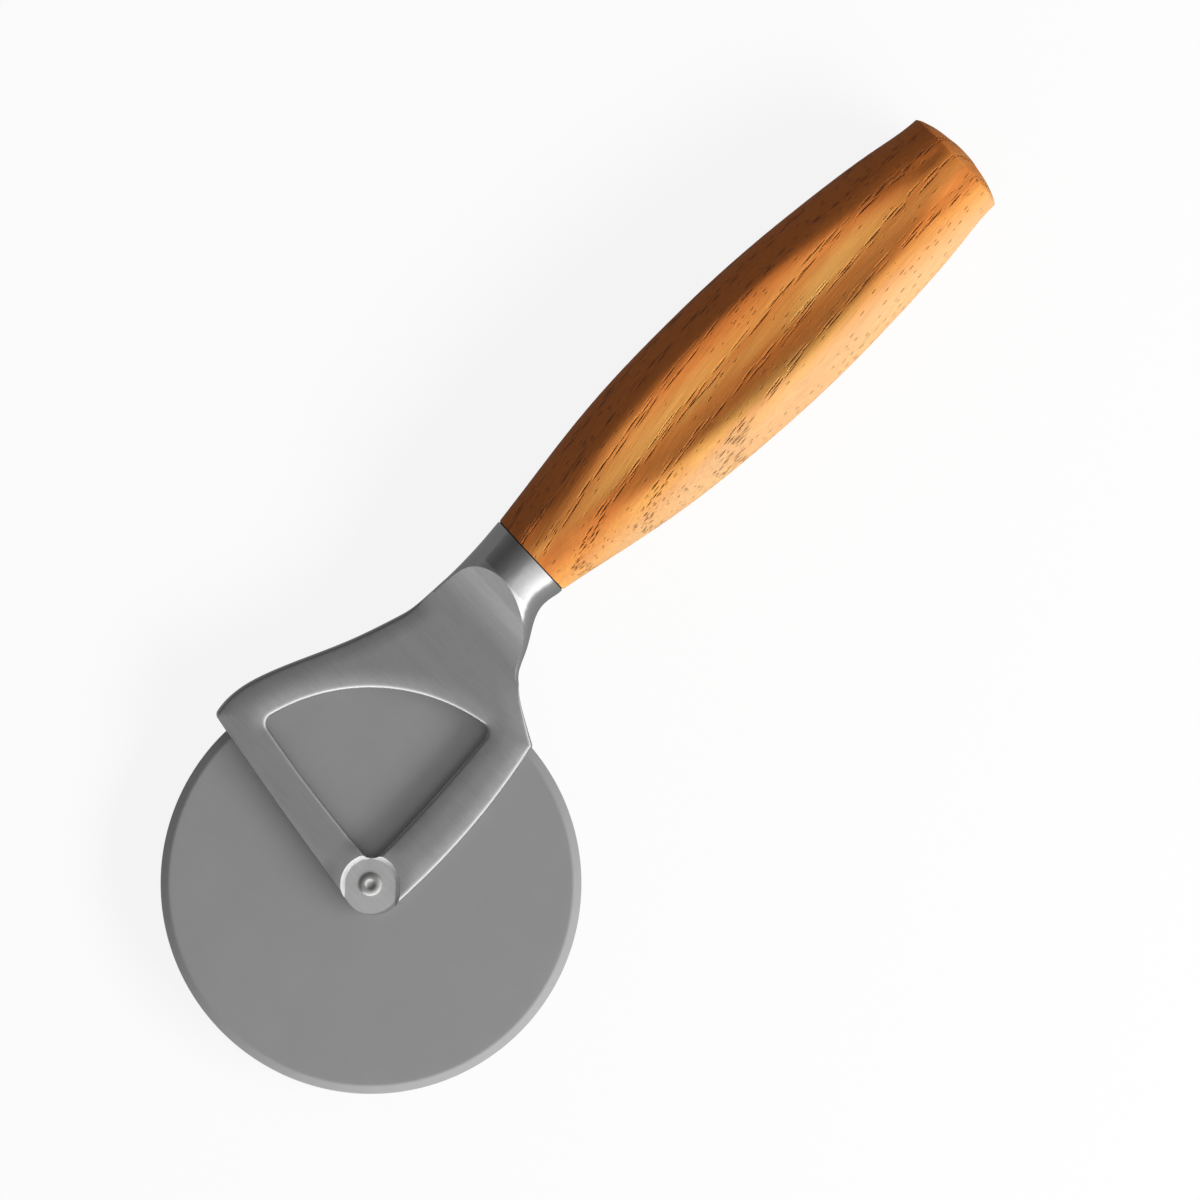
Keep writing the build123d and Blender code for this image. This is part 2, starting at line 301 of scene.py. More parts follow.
def make_tent():
    material, tree, _, place = new_material("tent_cloth")
    way = split(tree, place)
    angle = maths(tree, "ARCTAN2", times(tree, way["Y"], -1.0), way["Z"])
    low, high = tent_steps[0][0], tent_steps[-1][0]
    ramp = node(tree, "ShaderNodeValToRGB", {"Fac": share_between(tree, angle, radians(low), radians(high))})
    stops = ramp.color_ramp.elements
    while len(stops) < len(tent_steps):
        stops.new(0.5)
    brightest = max(strength for _, strength in tent_steps)
    for stop, (degrees, strength) in zip(stops, tent_steps):
        stop.position = (degrees - low) / (high - low)
        stop.color = (strength / brightest,) * 3 + (1,)
    lift = share_between(tree, way["X"], 0.0, -tent_radius, 1.0, 1.0 + tent_end_lift)
    only_glows(tree, ramp.outputs["Color"], times(tree, lift, brightest))
    shape = bmesh.new()
    bmesh.ops.create_uvsphere(shape, u_segments=48, v_segments=24, radius=tent_radius)
    bmesh.ops.bisect_plane(
        shape, geom=everything(shape), plane_co=(0, 0, tent_foot), plane_no=(0, 0, -1), clear_outer=True,
    )
    only_reflections_see(stage_object("light_tent", shape, material))


def make_mat():
    material, tree, _, place = new_material("grey_mat")
    way = split(tree, place)
    side_grey = ramped(tree, way["Y"], *mat_side_fade, *mat_side_greys)
    wheel_end = ramped(tree, way["X"], *mat_end_fade, 0.0, mat_end_lift)
    only_glows(tree, (1, 1, 1, 1), plus(tree, side_grey, wheel_end))
    shape = bmesh.new()
    bmesh.ops.create_circle(shape, cap_ends=True, radius=mat_radius, segments=64)
    bmesh.ops.translate(shape, verts=shape.verts, vec=(0, 0, mat_height))
    only_reflections_see(stage_object("grey_mat", shape, material))


make_tent()
make_mat()

# %% [markdown]
# Wood scatters light, so what shapes it is where the light comes from. One large soft lamp stands low in
# front of the tool's lower side, 25 degrees above the table and turned a little towards the butt, and an even
# white room fills its shadows. The tent already stands for the lamp in the steel, so the lamp itself is
# hidden from reflections.

# %% Lamp and room
key_height_angle = radians(25)
key_turn = radians(24)
key_distance = 1.4
key_size = (1.5, 0.45)
key_power = 33.0
room_light = 0.24


def make_key():
    lamp = bpy.data.lights.new("key_softbox", "AREA")
    lamp.shape = "RECTANGLE"
    lamp.size, lamp.size_y = key_size
    lamp.energy = key_power
    holder = bpy.data.objects.new("key_softbox", lamp)
    level = cos(key_height_angle)
    way = Vector((level * sin(key_turn), -level * cos(key_turn), sin(key_height_angle)))
    holder.location = grip_axis + way * key_distance
    holder.rotation_euler = (-way).to_track_quat("-Z", "Y").to_euler()
    holder.visible_glossy = False
    bpy.context.scene.collection.objects.link(holder)
    print("key lamp at", holder.location)


def make_room():
    world = bpy.data.worlds.new("white_studio")
    bpy.context.scene.world = world
    world.use_nodes = True
    tree = world.node_tree
    back = tree.nodes["Background"]
    back.inputs["Color"].default_value = (1, 1, 1, 1)
    tree.links.new(maths(tree, "MAXIMUM", rays_that_see(tree), room_light), back.inputs["Strength"])


make_key()
make_room()

# %% [markdown]
# Satin steel. A blade blank is ground and then tumbled, which leaves a very fine, even grit with no
# direction. The grit is too small to model, so it is a bump and a slight change of shade. Every steel and the
# small parts use the same grit at their own size, so it is one node group.


# %% Satin grit group
def make_grit_group():
    group, inside, outside = new_group(
        "satin_grit",
        [("Vector", "NodeSocketVector", None), ("Size", "NodeSocketFloat", 0.2),
         ("Clouding", "NodeSocketFloat", 0.05)],
        [("Shade", "NodeSocketFloat"), ("Height", "NodeSocketFloat")],
    )
    per_metre = maths(group, "DIVIDE", 1000.0, inside["Size"])
    grit = noise(group, inside["Vector"], per_metre, 3.0, 0.6)
    clouds = noise(group, inside["Vector"], times(group, per_metre, 0.02), 3.0, 0.6)
    clouding = times(group, minus(group, clouds, 0.5), inside["Clouding"])
    grain = times(group, minus(group, grit, 0.5), 0.16)
    group.links.new(plus(group, plus(group, grain, clouding), 1.0), outside["Shade"])
    group.links.new(grit, outside["Height"])
    return group


satin_grit = make_grit_group()
print("group", satin_grit.name)

# %% [markdown]
# Brushed steel. A belt leaves fine parallel lines, here across the tool. Stretched noise makes them:
# thousands of steps to the metre across the lines and only a few along them.


# %% Brushed lines group
def make_brushed_group():
    group, inside, outside = new_group(
        "brushed_lines",
        [("Vector", "NodeSocketVector", None), ("Stretch", "NodeSocketVector", None)],
        [("Shade", "NodeSocketFloat"), ("Height", "NodeSocketFloat")],
    )
    lines_place = stretched(group, inside["Vector"], inside["Stretch"])
    fine = noise(group, lines_place, 1.0, 4.0, 0.7)
    broad = noise(group, stretched(group, lines_place, (0.1, 0.12, 0.1)), 1.0, 2.0)
    both = plus(group, times(group, fine, 0.65), times(group, broad, 0.35))
    group.links.new(minus(group, both, 0.5), outside["Shade"])
    group.links.new(fine, outside["Height"])
    return group


brushed_lines = make_brushed_group()
print("group", brushed_lines.name)

# %% [markdown]
# Each steel is one Principled shader. The blade is dull. The forged frame is brushed on its flats and its
# ramp, polished on its edges and its neck, and freshly cut in the spotface round the rivet. Past the half-moon
# crease its brushed steel is painted lighter as light, and its cut seat is painted a lighter grey as sheen.
# The rivet's tail is satin.

# %% Steel finishes
brush_stretch = (3600, 130, 3600)
# Soft steps along the tool: where the polish starts, where the ramp starts, and the half-moon edge, past which
# the brushed steel is painted lighter
polish_fade = (joint_x - 7.4 * mm, joint_x - 7.8 * mm)
ramp_start_fade = (joint_x - 22 * mm, joint_x - 19 * mm)
half_moon_light_fade = (joint_x - 12 * mm, joint_x - 9.6 * mm)
# How much painted light is added to the brushed steel past the half-moon crease, to even out its shading there
half_moon_painted_light = 0.3
# Soft steps of a face's own direction: how far it looks up to count as flat, or sideways to count as a side
flat_fade = (0.6, 0.85)
side_fade = (0.3, 0.14)
blade_grey, rivet_grey = (0.405, 0.405, 0.405), (0.5, 0.5, 0.49)
# The second grey is a painted sheen: the cut seat is made lighter than the forged steel, standing in for the
# bright reflections of its lathe-cut face
forged_grey, cut_sheen_grey = (0.55, 0.55, 0.55, 1), (0.74, 0.74, 0.74, 1)
polished_rough, brushed_rough, cut_roughens = 0.24, 0.36, 0.2
blade_grit_depth, rivet_grit_depth, brush_depth = 0.012 * mm, 0.006 * mm, 0.01 * mm
# The milled seat round the rivet's tail: how far it reaches, and between which heights
seat_reach = 6.3 * mm
seat_heights = (11.6 * mm, 12.66 * mm)


def shaded(tree, colour, shade):
    """A colour made lighter or darker by a factor that changes over the surface."""
    return node(tree, "ShaderNodeVectorMath", {0: colour, "Scale": shade}, operation="SCALE").outputs[0]


def bumped(tree, height, distance):
    """A normal that follows a height."""
    inputs = {"Height": height, "Distance": distance, "Strength": 1.0}
    return node(tree, "ShaderNodeBump", inputs).outputs[0]


def gritty(name, colour, size, clouding, rough, **shader_values):
    """A finish whose shade and roughness follow the satin grit of a size in millimetres."""
    material, tree, shader, place = new_material(name, **shader_values)
    grit = use_group(tree, satin_grit, {"Vector": place, "Size": size, "Clouding": clouding})
    tree.links.new(shaded(tree, colour, grit["Shade"]), shader.inputs["Base Color"])
    tree.links.new(ramped(tree, grit["Height"], 0.3, 0.7, *rough), shader.inputs["Roughness"])
    return material, tree, shader, grit


def make_blade_steel():
    material, tree, shader, grit = gritty(
        "blade_steel", blade_grey, size=0.2, clouding=0.1, rough=(0.44, 0.52), Metallic=0.64,
    )
    tree.links.new(bumped(tree, grit["Height"], blade_grit_depth), shader.inputs["Normal"])
    return material


def milled_seat(tree, place):
    """1 on the fresh-cut seat and wall of the spotface, which the belt never reached."""
    from_centre = node(tree, "ShaderNodeVectorMath", {0: place, 1: axle}, operation="SUBTRACT").outputs[0]
    level = stretched(tree, from_centre, (1, 1, 0))
    distance = node(tree, "ShaderNodeVectorMath", {0: level}, operation="LENGTH").outputs["Value"]
    height = split(tree, place)["Z"]
    near = maths(tree, "LESS_THAN", distance, seat_reach)
    above = maths(tree, "GREATER_THAN", height, seat_heights[0])
    below = maths(tree, "LESS_THAN", height, seat_heights[1])
    return times(tree, near, times(tree, above, below))


def make_frame_steel():
    material, tree, shader, place = new_material("frame_steel", Metallic=1.0)
    lines = use_group(tree, brushed_lines, {"Vector": place, "Stretch": brush_stretch})
    facing = split(tree, node(tree, "ShaderNodeTexCoord").outputs["Normal"])
    along = split(tree, place)["X"]
    flat = ramped(tree, maths(tree, "ABSOLUTE", facing["Z"]), *flat_fade)
    not_side = ramped(tree, maths(tree, "ABSOLUTE", facing["Y"]), *side_fade)
    plate = ramped(tree, along, *polish_fade)
    neck_ramp = times(tree, not_side, ramped(tree, along, *ramp_start_fade))
    brushed = times(tree, maths(tree, "MAXIMUM", flat, neck_ramp), plate)
    grit = use_group(tree, satin_grit, {"Vector": place, "Size": 0.25, "Clouding": 0.12})
    depth = times(tree, times(tree, lines["Shade"], 0.5), brushed)
    # Painted light: the brushed steel past the half-moon crease is made lighter
    half_moon_light = times(tree, ramped(tree, along, *half_moon_light_fade, 0.0, half_moon_painted_light), brushed)
    shade = plus(tree, plus(tree, grit["Shade"], depth), half_moon_light)
    seat = milled_seat(tree, place)
    # The seat is painted a lighter grey as its sheen
    steel = mixed(tree, seat, forged_grey, cut_sheen_grey)
    tree.links.new(shaded(tree, steel, shade), shader.inputs["Base Color"])
    rough = ramped(tree, brushed, 0.0, 1.0, polished_rough, brushed_rough)
    rough = plus(tree, rough, times(tree, seat, cut_roughens))
    tree.links.new(rough, shader.inputs["Roughness"])
    height = times(tree, lines["Height"], brushed)
    tree.links.new(bumped(tree, height, brush_depth), shader.inputs["Normal"])
    return material


def make_rivet_steel():
    material, tree, shader, grit = gritty(
        "rivet_steel", rivet_grey, size=0.15, clouding=0.2, rough=(0.36, 0.46), Metallic=0.9,
    )
    tree.links.new(bumped(tree, grit["Height"], rivet_grit_depth), shader.inputs["Normal"])
    return material


blade_steel = make_blade_steel()
frame_steel = make_frame_steel()
rivet_steel = make_rivet_steel()
washer_steel, *_ = gritty(
    "washer_steel", (0.55, 0.55, 0.54), size=0.12, clouding=0.1, rough=(0.28, 0.38), Metallic=1.0,
)
bush_polymer, *_ = gritty("bush_polymer", (0.8, 0.8, 0.76), size=0.3, clouding=0.1, rough=(0.4, 0.5))
seal_film, *_ = gritty("seal_film", (0.03, 0.026, 0.022), size=0.3, clouding=0.3, rough=(0.6, 0.8))
for finish in (blade_steel, frame_steel, rivet_steel, washer_steel, bush_polymer, seal_film):
    print("finish", finish.name)

# %% [markdown]
# Ring-porous wood, such as oak or ash. A tree grows a ring each year: in spring it lays down a band of wide
# open tubes, and in summer dense smooth wood. Cut along the trunk, the tubes of each spring band show as a
# row of open grooves. The pattern is worked out in solid space, so every face of the handle, and its end
# grain, shows the cut that it would really have. It is measured in millimetres from the handle's axis at the
# joint. The rings run nearly along the handle and drift down towards the butt, and the fibres cross them at a
# slight angle, so the grooves of a row overlap like roof tiles.

# %% Wood grain group
ring_width = 5.9
ring_start = 2.7
ring_lean = 0.6
drift_slope = 0.119
drift_curve = 0.00081
drift_middle = 62.4
fibre_slope = 0.045
groove_spacing = (6.4, 0.58, 0.58)
fleck_spacing = (2.4, 0.5, 0.5)
ring_wander = 2.2
# Steps of noise to the millimetre, along the handle, across it and up
wander_scale = (0.03, 0.1, 0.1)
patch_scale = (0.03, 0.09, 0.09)
fibre_scale = (0.1, 3.4, 3.4)
blotch_scale = (0.02, 0.2, 0.2)
# How far a groove or fleck reaches from the middle of its cell, from its rim to its bottom
groove_reach = (0.52, 0.06)
fleck_reach = (0.36, 0.16)
# The few cells that stay closed, and how the share of cells with a fleck follows the patches
closed_cells = (0.02, 0.08)
fleck_crowd = (0.35, 0.7, 0.04, 0.3)
# Half the width of a spring band, and where it has faded out
spring_half, spring_end = 0.65, 1.05
# Where a ring is counted from, so that its dark summer wood ends just before its spring band
ring_count_start = 0.47
# Rings counted before the first one, so that the count is never below nought
rings_before = 99.5


def joined(tree, *values):
    """A vector made of its X, Y and Z."""
    return node(tree, "ShaderNodeCombineXYZ", dict(enumerate(values))).outputs[0]


def cells(tree, vector, spacing):
    """Scattered long cells: the distance to the nearest one's middle, and its own random number."""
    in_cells = stretched(tree, vector, tuple(1 / size for size in spacing))
    found = node(tree, "ShaderNodeTexVoronoi", {"Vector": in_cells, "Scale": 1.0}).outputs
    return found["Distance"], split(tree, found["Color"])["X"]


def make_wood_group():
    group, inside, outside = new_group(
        "open_pored_wood",
        [("Vector", "NodeSocketVector", None)],
        [("Ring", "NodeSocketFloat"), ("Groove", "NodeSocketFloat"), ("Fleck", "NodeSocketFloat"),
         ("Fibre", "NodeSocketFloat"), ("Blotch", "NodeSocketFloat")],
    )
    along, across, up = split(group, inside["Vector"])
    run = minus(group, along, drift_middle)
    curve = times(group, times(group, run, run), drift_curve)
    drift = minus(group, curve, times(group, run, drift_slope))
    drifted = plus(group, across, drift)
    wander_place = stretched(group, joined(group, along, drifted, up), wander_scale)
    wander = times(group, minus(group, noise(group, wander_place, 1.0, 3.0), 0.5), ring_wander)
    depth = plus(group, drifted, minus(group, wander, times(group, up, ring_lean)))
    rings = maths(group, "DIVIDE", minus(group, depth, ring_start - rings_before * ring_width), ring_width)
    turn = maths(group, "FRACT", rings)
    from_row = times(group, maths(group, "ABSOLUTE", minus(group, turn, 0.5)), ring_width)
    fibre_across = minus(group, drifted, times(group, run, fibre_slope))
    fibre_place = joined(group, along, fibre_across, up)
    spring = ramped(group, from_row, spring_end, spring_half)
    near, chance = cells(group, fibre_place, groove_spacing)
    kept = ramped(group, chance, *closed_cells)
    groove = times(group, times(group, ramped(group, near, *groove_reach), spring), kept)
    near, chance = cells(group, fibre_place, fleck_spacing)
    patches = noise(group, stretched(group, fibre_place, patch_scale), 1.0, 2.0)
    crowd = ramped(group, patches, *fleck_crowd)
    rare = ramped(group, minus(group, crowd, chance), 0.0, 0.03)
    fleck = times(group, ramped(group, near, *fleck_reach), rare)
    group.links.new(maths(group, "FRACT", plus(group, turn, ring_count_start)), outside["Ring"])
    group.links.new(groove, outside["Groove"])
    group.links.new(fleck, outside["Fleck"])
    fibres = stretched(group, fibre_place, fibre_scale)
    group.links.new(noise(group, fibres, 1.0, 4.0, 0.6), outside["Fibre"])
    blotches = stretched(group, fibre_place, blotch_scale)
    group.links.new(noise(group, blotches, 1.0, 3.0), outside["Blotch"])
    return group


open_pored_wood = make_wood_group()
print("group", open_pored_wood.name)

# %% [markdown]
# The handle is oiled, not varnished, so it has a low even gloss and the grooves stay open. Its colour runs
# from honey to a darker red-brown, which is also the late wood of each ring. Shade and light are painted on
# top: the upper side is painted dark red-brown as shade, more so near the two ends, a streak just below the
# middle is painted dark as shade and is partly the wood's own tone, and the lower side is painted pale as
# light. End grain drinks more oil, so the butt is darker.

# %% Handle wood
# The darkest brown is the late wood of each ring and also painted shade on the upper side and in a streak; the
# first colour on the next line is painted light on the lower side
honey, amber, late_wood_and_painted_shade = (0.74, 0.36, 0.085, 1), (0.60, 0.22, 0.04, 1), (0.52, 0.14, 0.02, 1)
lower_side_painted_light, groove_brown, end_brown = (0.62, 0.39, 0.20, 1), (0.17, 0.05, 0.01, 1), (0.48, 0.17, 0.035, 1)
end_grain_depth = 2.6 * mm
groove_depth = 0.5 * mm
# Soft steps of colour across the handle: from here to there in millimetres, from this share to that
# Painted light: the lower side is made pale, as the light falls on it
lower_side_light_step = (-4.5, -11.0, 0.0, 0.75)
# Painted shade: the upper side is made dark red-brown, as it faces away from the light
upper_side_shade_step = (4.5, 11.5, 0.0, 0.95)
# Painted shade, partly the wood's own darker tone: a dark streak just below the handle's axis
shade_streak_middle = 1.4
shade_streak_step = (4.2, 1.0, 0.0, 0.75)
late_step = (-10.0, -3.0, 0.1, 0.5)
groove_dark_step = (-12.0, -6.0, 0.1, 0.4)
# The blotches push the steps to and fro, and the painted shade of the upper side reaches further down near the
# handle's two ends
blotch_push = 5.0
ends_shade_push = (25.0, 60.0, 0.0, 5.0)
end_grain_share, fleck_share = 0.6, 0.25


def make_handle_wood():
    material, tree, shader, place = new_material("handle_wood", Specular_IOR_Level=0.22)
    start = tuple(-value / mm for value in (joint_x, grip_axis.y, grip_axis.z))
    to_millimetres = {"Vector": place, "Scale": (1 / mm,) * 3, "Location": start}
    measured = node(tree, "ShaderNodeMapping", to_millimetres).outputs[0]
    grain = use_group(tree, open_pored_wood, {"Vector": measured})
    body = mixed(tree, ramped(tree, grain["Blotch"], 0.3, 0.68), amber, honey)
    across = split(tree, measured)["Y"]
    edge = plus(tree, across, times(tree, grain["Blotch"], blotch_push))
    # Painted light: a pale band along the lower side
    body = mixed(tree, ramped(tree, edge, *lower_side_light_step), body, lower_side_painted_light)
    from_middle = maths(tree, "ABSOLUTE", minus(tree, split(tree, measured)["X"], drift_middle))
    upper = plus(tree, edge, ramped(tree, from_middle, *ends_shade_push))
    # Painted shade along the upper side, reaching further down near the two ends
    body = mixed(tree, ramped(tree, upper, *upper_side_shade_step), body, late_wood_and_painted_shade)
    late = times(tree, ramped(tree, grain["Ring"], 0.35, 1.0), ramped(tree, across, *late_step))
    body = mixed(tree, late, body, late_wood_and_painted_shade)
    # Painted shade, partly the wood's own tone: a dark streak just below the middle
    shade_streak = maths(tree, "ABSOLUTE", plus(tree, edge, shade_streak_middle))
    body = mixed(tree, ramped(tree, shade_streak, *shade_streak_step), body, late_wood_and_painted_shade)
    body = shaded(tree, body, ramped(tree, grain["Fibre"], 0.2, 0.8, 0.86, 1.14))
    tip_start = handle_high.x - end_grain_depth
    tip = ramped(tree, split(tree, place)["X"], tip_start, tip_start + 0.6 * mm)
    body = mixed(tree, times(tree, tip, end_grain_share), body, end_brown)
    darkness = ramped(tree, across, *groove_dark_step)
    bottom = times(tree, ramped(tree, grain["Groove"], 0.4, 1.0), darkness)
    open_share = maths(tree, "MAXIMUM", bottom, times(tree, grain["Fleck"], fleck_share))
    tree.links.new(mixed(tree, open_share, body, groove_brown), shader.inputs["Base Color"])
    tree.links.new(ramped(tree, grain["Fibre"], 0.2, 0.8, 0.46, 0.58), shader.inputs["Roughness"])
    cut = plus(tree, grain["Groove"], times(tree, grain["Fleck"], 0.5))
    relief = minus(tree, times(tree, grain["Fibre"], 0.1), cut)
    tree.links.new(bumped(tree, relief, groove_depth), shader.inputs["Normal"])
    return material


handle_wood = make_handle_wood()
print("wood", handle_wood.name)

# %% [markdown]
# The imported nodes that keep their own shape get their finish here: the handle, the seal, and the tang, which
# nothing shows.

# %% Finishes of the kept nodes
for name, finish in {"handle": handle_wood, "joint_seal": seal_film, "tang": washer_steel}.items():
    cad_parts[name].data.materials.clear()
    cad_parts[name].data.materials.append(finish)
    print(name, "has", finish.name)

# %% [markdown]
# Turned pieces. The wheel, the rivet, the bush and the washers are all round about the axle, so each is one
# profile spun through a full turn, as on a lathe. Real edges are never sharp, so the corners are then
# bevelled by a few hundredths of a millimetre, which is what catches the light. The sizes are the model's
# own.

# %% Lathe
smooth_angle = radians(32)
weld_gap = 0.001 * mm
# Steps round a full turn, for the wheel and for the small round pieces
wheel_steps, round_steps = 256, 96


def finished_piece(name, shape, finish, stands_for, body):
    """Makes a piece from a shape. It stands for a node of the model, and moves with a body."""
    for face in shape.faces:
        face.smooth = True
    for edge in shape.edges:
        edge.smooth = len(edge.link_faces) == 2 and edge.calc_face_angle() < smooth_angle
    mesh = bpy.data.meshes.new(name)
    shape.to_mesh(mesh)
    shape.free()
    mesh.materials.append(finish)
    piece = bpy.data.objects.new(name, mesh)
    even = piece.modifiers.new("even_shading", "WEIGHTED_NORMAL")
    even.keep_sharp = True
    bpy.context.scene.collection.objects.link(piece)
    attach(piece, body)
    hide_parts(stands_for)
    low, high = (Vector(corner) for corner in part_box(stands_for))
    spans = [[vertex.co[axis] for vertex in mesh.vertices] for axis in range(3)]
    size = [round((max(span) - min(span)) / mm, 2) for span in spans]
    print(name, len(mesh.polygons), "faces; in mm", size, "for", [round(part / mm, 2) for part in high - low])
    return piece


def turned(profile, steps, rounding=0.0, rounded=None):
    """A profile of (radius, height) points spun about the axle, its corners rounded where rounded says so."""
    shape = bmesh.new()
    points = [shape.verts.new((axle.x + radius, axle.y, height)) for radius, height in profile]
    for index, (radius, _) in enumerate(profile):
        if radius > 0 or profile[index - 1][0] > 0:
            shape.edges.new((points[index - 1], points[index]))
    bmesh.ops.spin(
        shape, geom=shape.verts[:] + shape.edges[:], cent=axle, axis=(0, 0, 1),
        angle=2 * pi, steps=steps, use_merge=True, use_duplicate=False,
    )
    bmesh.ops.remove_doubles(shape, verts=shape.verts, dist=weld_gap)
    bmesh.ops.recalc_face_normals(shape, faces=shape.faces)
    if rounding:
        corners = [
            edge for edge in shape.edges
            if len(edge.link_faces) == 2 and edge.calc_face_angle() > smooth_angle / 2
            and (rounded is None or rounded(edge))
        ]
        bmesh.ops.bevel(
            shape, geom=corners, offset=rounding, offset_type="OFFSET", affect="EDGES",
            segments=3, profile=0.5, material=-1, clamp_overlap=True,
        )
    return shape


def from_axle(vertex):
    """How far a point is from the wheel's axle."""
    return (Vector((vertex.co.x, vertex.co.y, 0)) - axle).length


def arc(start, end, rise, steps=6):
    """Points of a circular arc from start to end that stands off their straight line by rise, to its left."""
    start, end = Vector(start), Vector(end)
    half = (end - start) / 2
    left = Vector((-half.y, half.x)).normalized()
    radius = (half.length**2 + rise**2) / (2 * rise)
    centre = start + half + left * (rise - radius)
    spread = asin(half.length / abs(radius))
    points = []
    for step in range(steps + 1):
        turn = spread * (2 * step / steps - 1)
        way = left * cos(turn) * (1 if rise > 0 else -1) + half.normalized() * sin(turn)
        points.append(tuple(centre + way * abs(radius)))
    return points


# %% [markdown]
# The cutting wheel is a flat disc that is ground down on both sides, all round, to a narrow land. It could be
# bevelled from a plain disc, but a profile gives each width its own number. Only the shoulder where the bevel
# starts is rounded, and the cutting edge stays crisp. A ring of points inside the shoulder keeps the flat's
# shading flat.

# %% Cutting wheel
wheel_bevel_width = 1.8 * mm
wheel_land = 0.15 * mm
wheel_corner = 0.35 * mm
bush_low, bush_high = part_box("wheel_bush")
bush_radius = (bush_high.x - bush_low.x) / 2


def make_wheel():
    middle = (wheel_low.z + wheel_high.z) / 2
    shoulder = wheel_radius - wheel_bevel_width
    support = shoulder - wheel_bevel_width
    profile = [
        (bush_radius, wheel_low.z), (support, wheel_low.z), (shoulder, wheel_low.z),
        (wheel_radius, middle - wheel_land / 2), (wheel_radius, middle + wheel_land / 2),
        (shoulder, wheel_high.z), (support, wheel_high.z), (bush_radius, wheel_high.z),
    ]

    def at_shoulder(edge):
        return abs(from_axle(edge.verts[0]) - shoulder) < 0.1 * mm

    shape = turned(profile, wheel_steps, wheel_corner, at_shoulder)
    return finished_piece("ground_wheel", shape, blade_steel, "cutting_wheel", "wheel")


make_wheel()

# %% [markdown]
# The rivet holds everything together: a domed head behind, a shoulder for the bush, a neck through the frame,
# and a tail that the punch spreads in the spotface. The punch leaves a dimple with a raised rim round it.

# %% Rivet, bush and washers
rivet_head_rim = 0.5 * mm
rivet_neck_radius = 2.0 * mm
rivet_tail_radius = 2.55 * mm
rivet_tail_height = 0.75 * mm
rivet_tail_edge = 0.3 * mm
rivet_dimple_radius = 1.1 * mm
rivet_dimple_depth = 0.35 * mm
rivet_dimple_sag = 0.12 * mm
rivet_dome_rise = 0.22 * mm
rivet_rounding = 0.06 * mm
running_gap = 0.05 * mm
bush_rounding, washer_rounding = 0.12 * mm, 0.1 * mm
shoulder_radius = 3.0 * mm
plate_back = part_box("front_washer")[1].z


def make_rivet():
    low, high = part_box("axle_rivet")
    head_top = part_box("rear_washer")[0].z
    head_radius = (high.x - low.x) / 2
    seat = high.z - rivet_tail_height
    crown = head_top - rivet_head_rim - low.z
    dimple = arc((0, high.z - rivet_dimple_depth), (rivet_dimple_radius, high.z), -rivet_dimple_sag)
    dome = arc((rivet_dimple_radius, high.z), (rivet_tail_radius, seat + rivet_tail_edge), rivet_dome_rise)
    head = arc((head_radius, head_top - rivet_head_rim), (0, low.z), crown * 0.25)
    profile = dimple[:-1] + dome + [
        (rivet_tail_radius, seat), (rivet_neck_radius, seat), (rivet_neck_radius, plate_back),
        (shoulder_radius, plate_back), (shoulder_radius, head_top), (head_radius, head_top),
    ] + head
    shape = turned(profile, round_steps, rivet_rounding)
    return finished_piece("formed_rivet", shape, rivet_steel, "axle_rivet", "root")


def make_ring(name, node_name, bore, rounding, finish, body):
    low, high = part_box(node_name)
    outer = (high.x - low.x) / 2
    profile = [(bore, low.z), (outer, low.z), (outer, high.z), (bore, high.z)]
    return finished_piece(name, turned(profile, round_steps, rounding), finish, node_name, body)


make_rivet()
bore = shoulder_radius + running_gap
make_ring("pressed_bush", "wheel_bush", bore, bush_rounding, bush_polymer, "wheel")
make_ring("front_spacer", "front_washer", bore, washer_rounding, washer_steel, "root")
make_ring("rear_spacer", "rear_washer", bore, washer_rounding, washer_steel, "root")

# %% [markdown]
# The frame is forged, then ground by hand, so its broad faces aren't dead flat: near every edge they fall
# away by four tenths of a millimetre over the last few millimetres. That soft roll is what gives the real
# edges their dark and light bands. The model's frame has flat faces with a small rounding, so the plate is
# made again here from the model's own outline, which is cut from a welded copy of its mesh.

# %% Forged frame: outline
plate_half = 1.75 * mm
plate_middle = plate_back + plate_half
edge_rounding = 0.9 * mm
wall_half = plate_half - edge_rounding
plate_end_x = joint_x - 20.4 * mm
outline_step = 0.9 * mm


def welded_copy(node_name):
    """A bmesh of a node's mesh with its loose triangles joined."""
    shape = bmesh.new()
    shape.from_mesh(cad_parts[node_name].data)
    bmesh.ops.remove_doubles(shape, verts=shape.verts, dist=weld_gap)
    return shape


def make_outline():
    """The outline of the plate and its window, cut from the model's frame just above its lower rounding."""
    shape = welded_copy("frame")
    height = plate_middle - wall_half + 0.02 * mm
    bmesh.ops.bisect_plane(
        shape, geom=everything(shape), plane_co=(0, 0, height), plane_no=(0, 0, 1),
        clear_inner=True, clear_outer=True,
    )
    end = (plate_end_x - 0.01 * mm, 0, 0)
    bmesh.ops.bisect_plane(shape, geom=everything(shape), plane_co=end, plane_no=(1, 0, 0), clear_outer=True)
    bore = [vertex for vertex in shape.verts if from_axle(vertex) < shoulder_radius]
    bmesh.ops.delete(shape, geom=bore, context="VERTS")
    bmesh.ops.remove_doubles(shape, verts=shape.verts, dist=0.2 * mm)
    ends = [vertex for vertex in shape.verts if len(vertex.link_edges) == 1]
    shape.edges.new(ends)
    for edge in shape.edges[:]:
        cuts = int(edge.calc_length() / outline_step)
        if cuts:
            bmesh.ops.subdivide_edges(shape, edges=[edge], cuts=cuts)
    print("outline", len(shape.verts), "points,", len(ends), "ends")
    return shape


